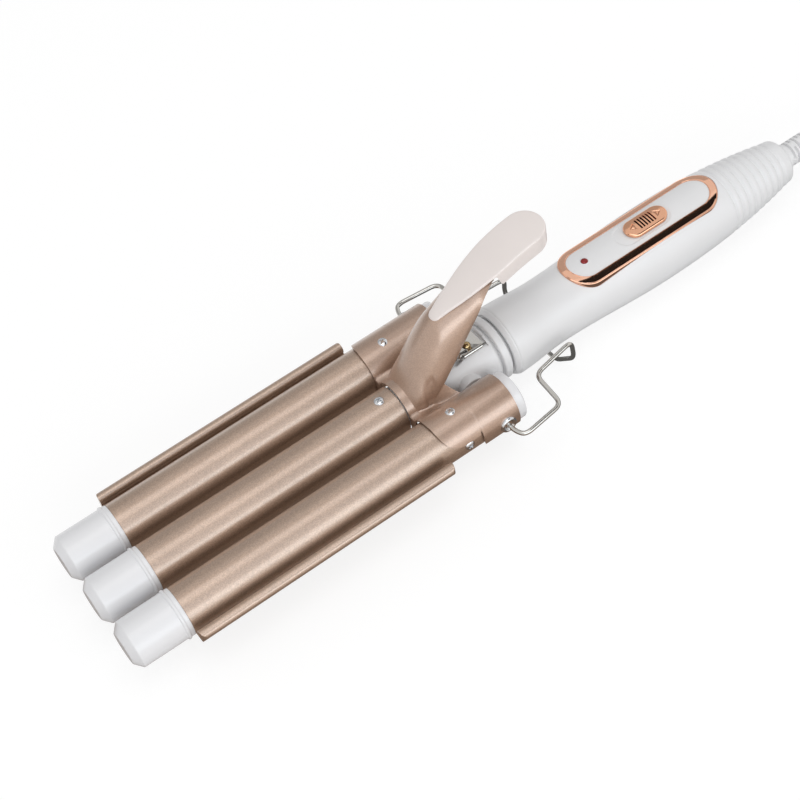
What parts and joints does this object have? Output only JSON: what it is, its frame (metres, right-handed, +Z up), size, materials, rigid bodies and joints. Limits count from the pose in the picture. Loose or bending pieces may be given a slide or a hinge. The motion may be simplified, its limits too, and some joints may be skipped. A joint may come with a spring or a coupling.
{
  "type": "hair waver",
  "caption": "Corded hair waver: parallel champagne barrels, the outer ones raised by a sprung thumb lever, on a white handle with a slide switch and a folding wire stand.",
  "frame": {"origin": "centre of the footprint, on the plane that the folded stand rests on", "axes": "+X from the barrel tips towards the cord, +Y towards the left-hand barrel as seen from behind the handle with the lever up, +Z up through the lever"},
  "size_m": [0.5901, 0.1335, 0.0914],
  "materials": {
    "barrel_plate": "satin champagne ceramic coat",
    "white_plastic": "semi-gloss",
    "rose_metallic": "rose-gold metallic lacquer, gloss",
    "steel": "nickel plated, polished",
    "brass": "polished",
    "dark_steel": "oiled",
    "cord_sheath": "satin",
    "dark_plastic": "satin",
    "red_lens": "clear, gloss",
    "board": "satin laminate",
    "fuse_sleeve": "ceramic, satin",
    "ceramic_heater": "sintered ceramic, satin",
    "lead_sleeve": "silicone, matt"
  },
  "bodies": {
    "handle": {"handle_housing": "white_plastic", "collar_ring": "white_plastic", "neck": "white_plastic", "middle_barrel": "barrel_plate", "middle_tip_cap": "white_plastic", "middle_barrel_screw": "steel", "spring_bracket": "steel", "bracket_rivet": "brass", "bracket_pin": "dark_steel", "spring_arbor": "dark_steel", "torsion_spring": "dark_steel", "bezel": "rose_metallic", "switch_panel": "white_plastic", "led_lens": "red_lens", "switch_body": "dark_plastic", "circuit_board": "board", "thermal_fuse": "fuse_sleeve", "cord_clamp": "dark_plastic", "clamp_screws": "steel", "handle_screws": "steel", "strain_relief": "white_plastic", "cord_inner": "cord_sheath", "middle_heater": "ceramic_heater", "heater_leads": "lead_sleeve", "cord_lead": "cord_sheath", "cord_coil": "cord_sheath", "cord_tie": "dark_plastic", "cord_tail": "cord_sheath", "plug_body": "white_plastic", "plug_pins": "steel"},
    "jaw": {"left_barrel": "barrel_plate", "right_barrel": "barrel_plate", "left_tip_cap": "white_plastic", "right_tip_cap": "white_plastic", "left_side_rail": "barrel_plate", "right_side_rail": "barrel_plate", "lever_plate": "barrel_plate", "thumb_cover": "white_plastic", "wing_screws": "steel", "left_rear_cap": "white_plastic", "right_rear_cap": "white_plastic", "left_stand_cup": "steel", "right_stand_cup": "steel", "left_heater": "ceramic_heater", "right_heater": "ceramic_heater", "left_pivot_pin": "steel", "right_pivot_pin": "steel"},
    "stand": {"wire_stand": "steel"},
    "switch": {"switch_slider": "rose_metallic"}
  },
  "joints": [
    {"name": "jaw_hinge", "type": "hinge", "parent": "handle", "child": "jaw", "pos_m": [-0.02115, 0, 0.02185], "axis": [0, 1, 0], "range_deg": [0, 28], "stiffness_Nm_per_rad": 0.9, "springref_deg": -20.05, "deforming": ["torsion_spring"]},
    {"name": "stand_hinge", "type": "hinge", "parent": "jaw", "child": "stand", "pos_m": [-0.02115, 0, 0.02185], "axis": [0, 1, 0], "range_deg": [0, 100]},
    {"name": "switch_slide", "type": "slide", "parent": "handle", "child": "switch", "axis": [1, 0, 0], "range_m": [-0.005, 0]}
  ]
}
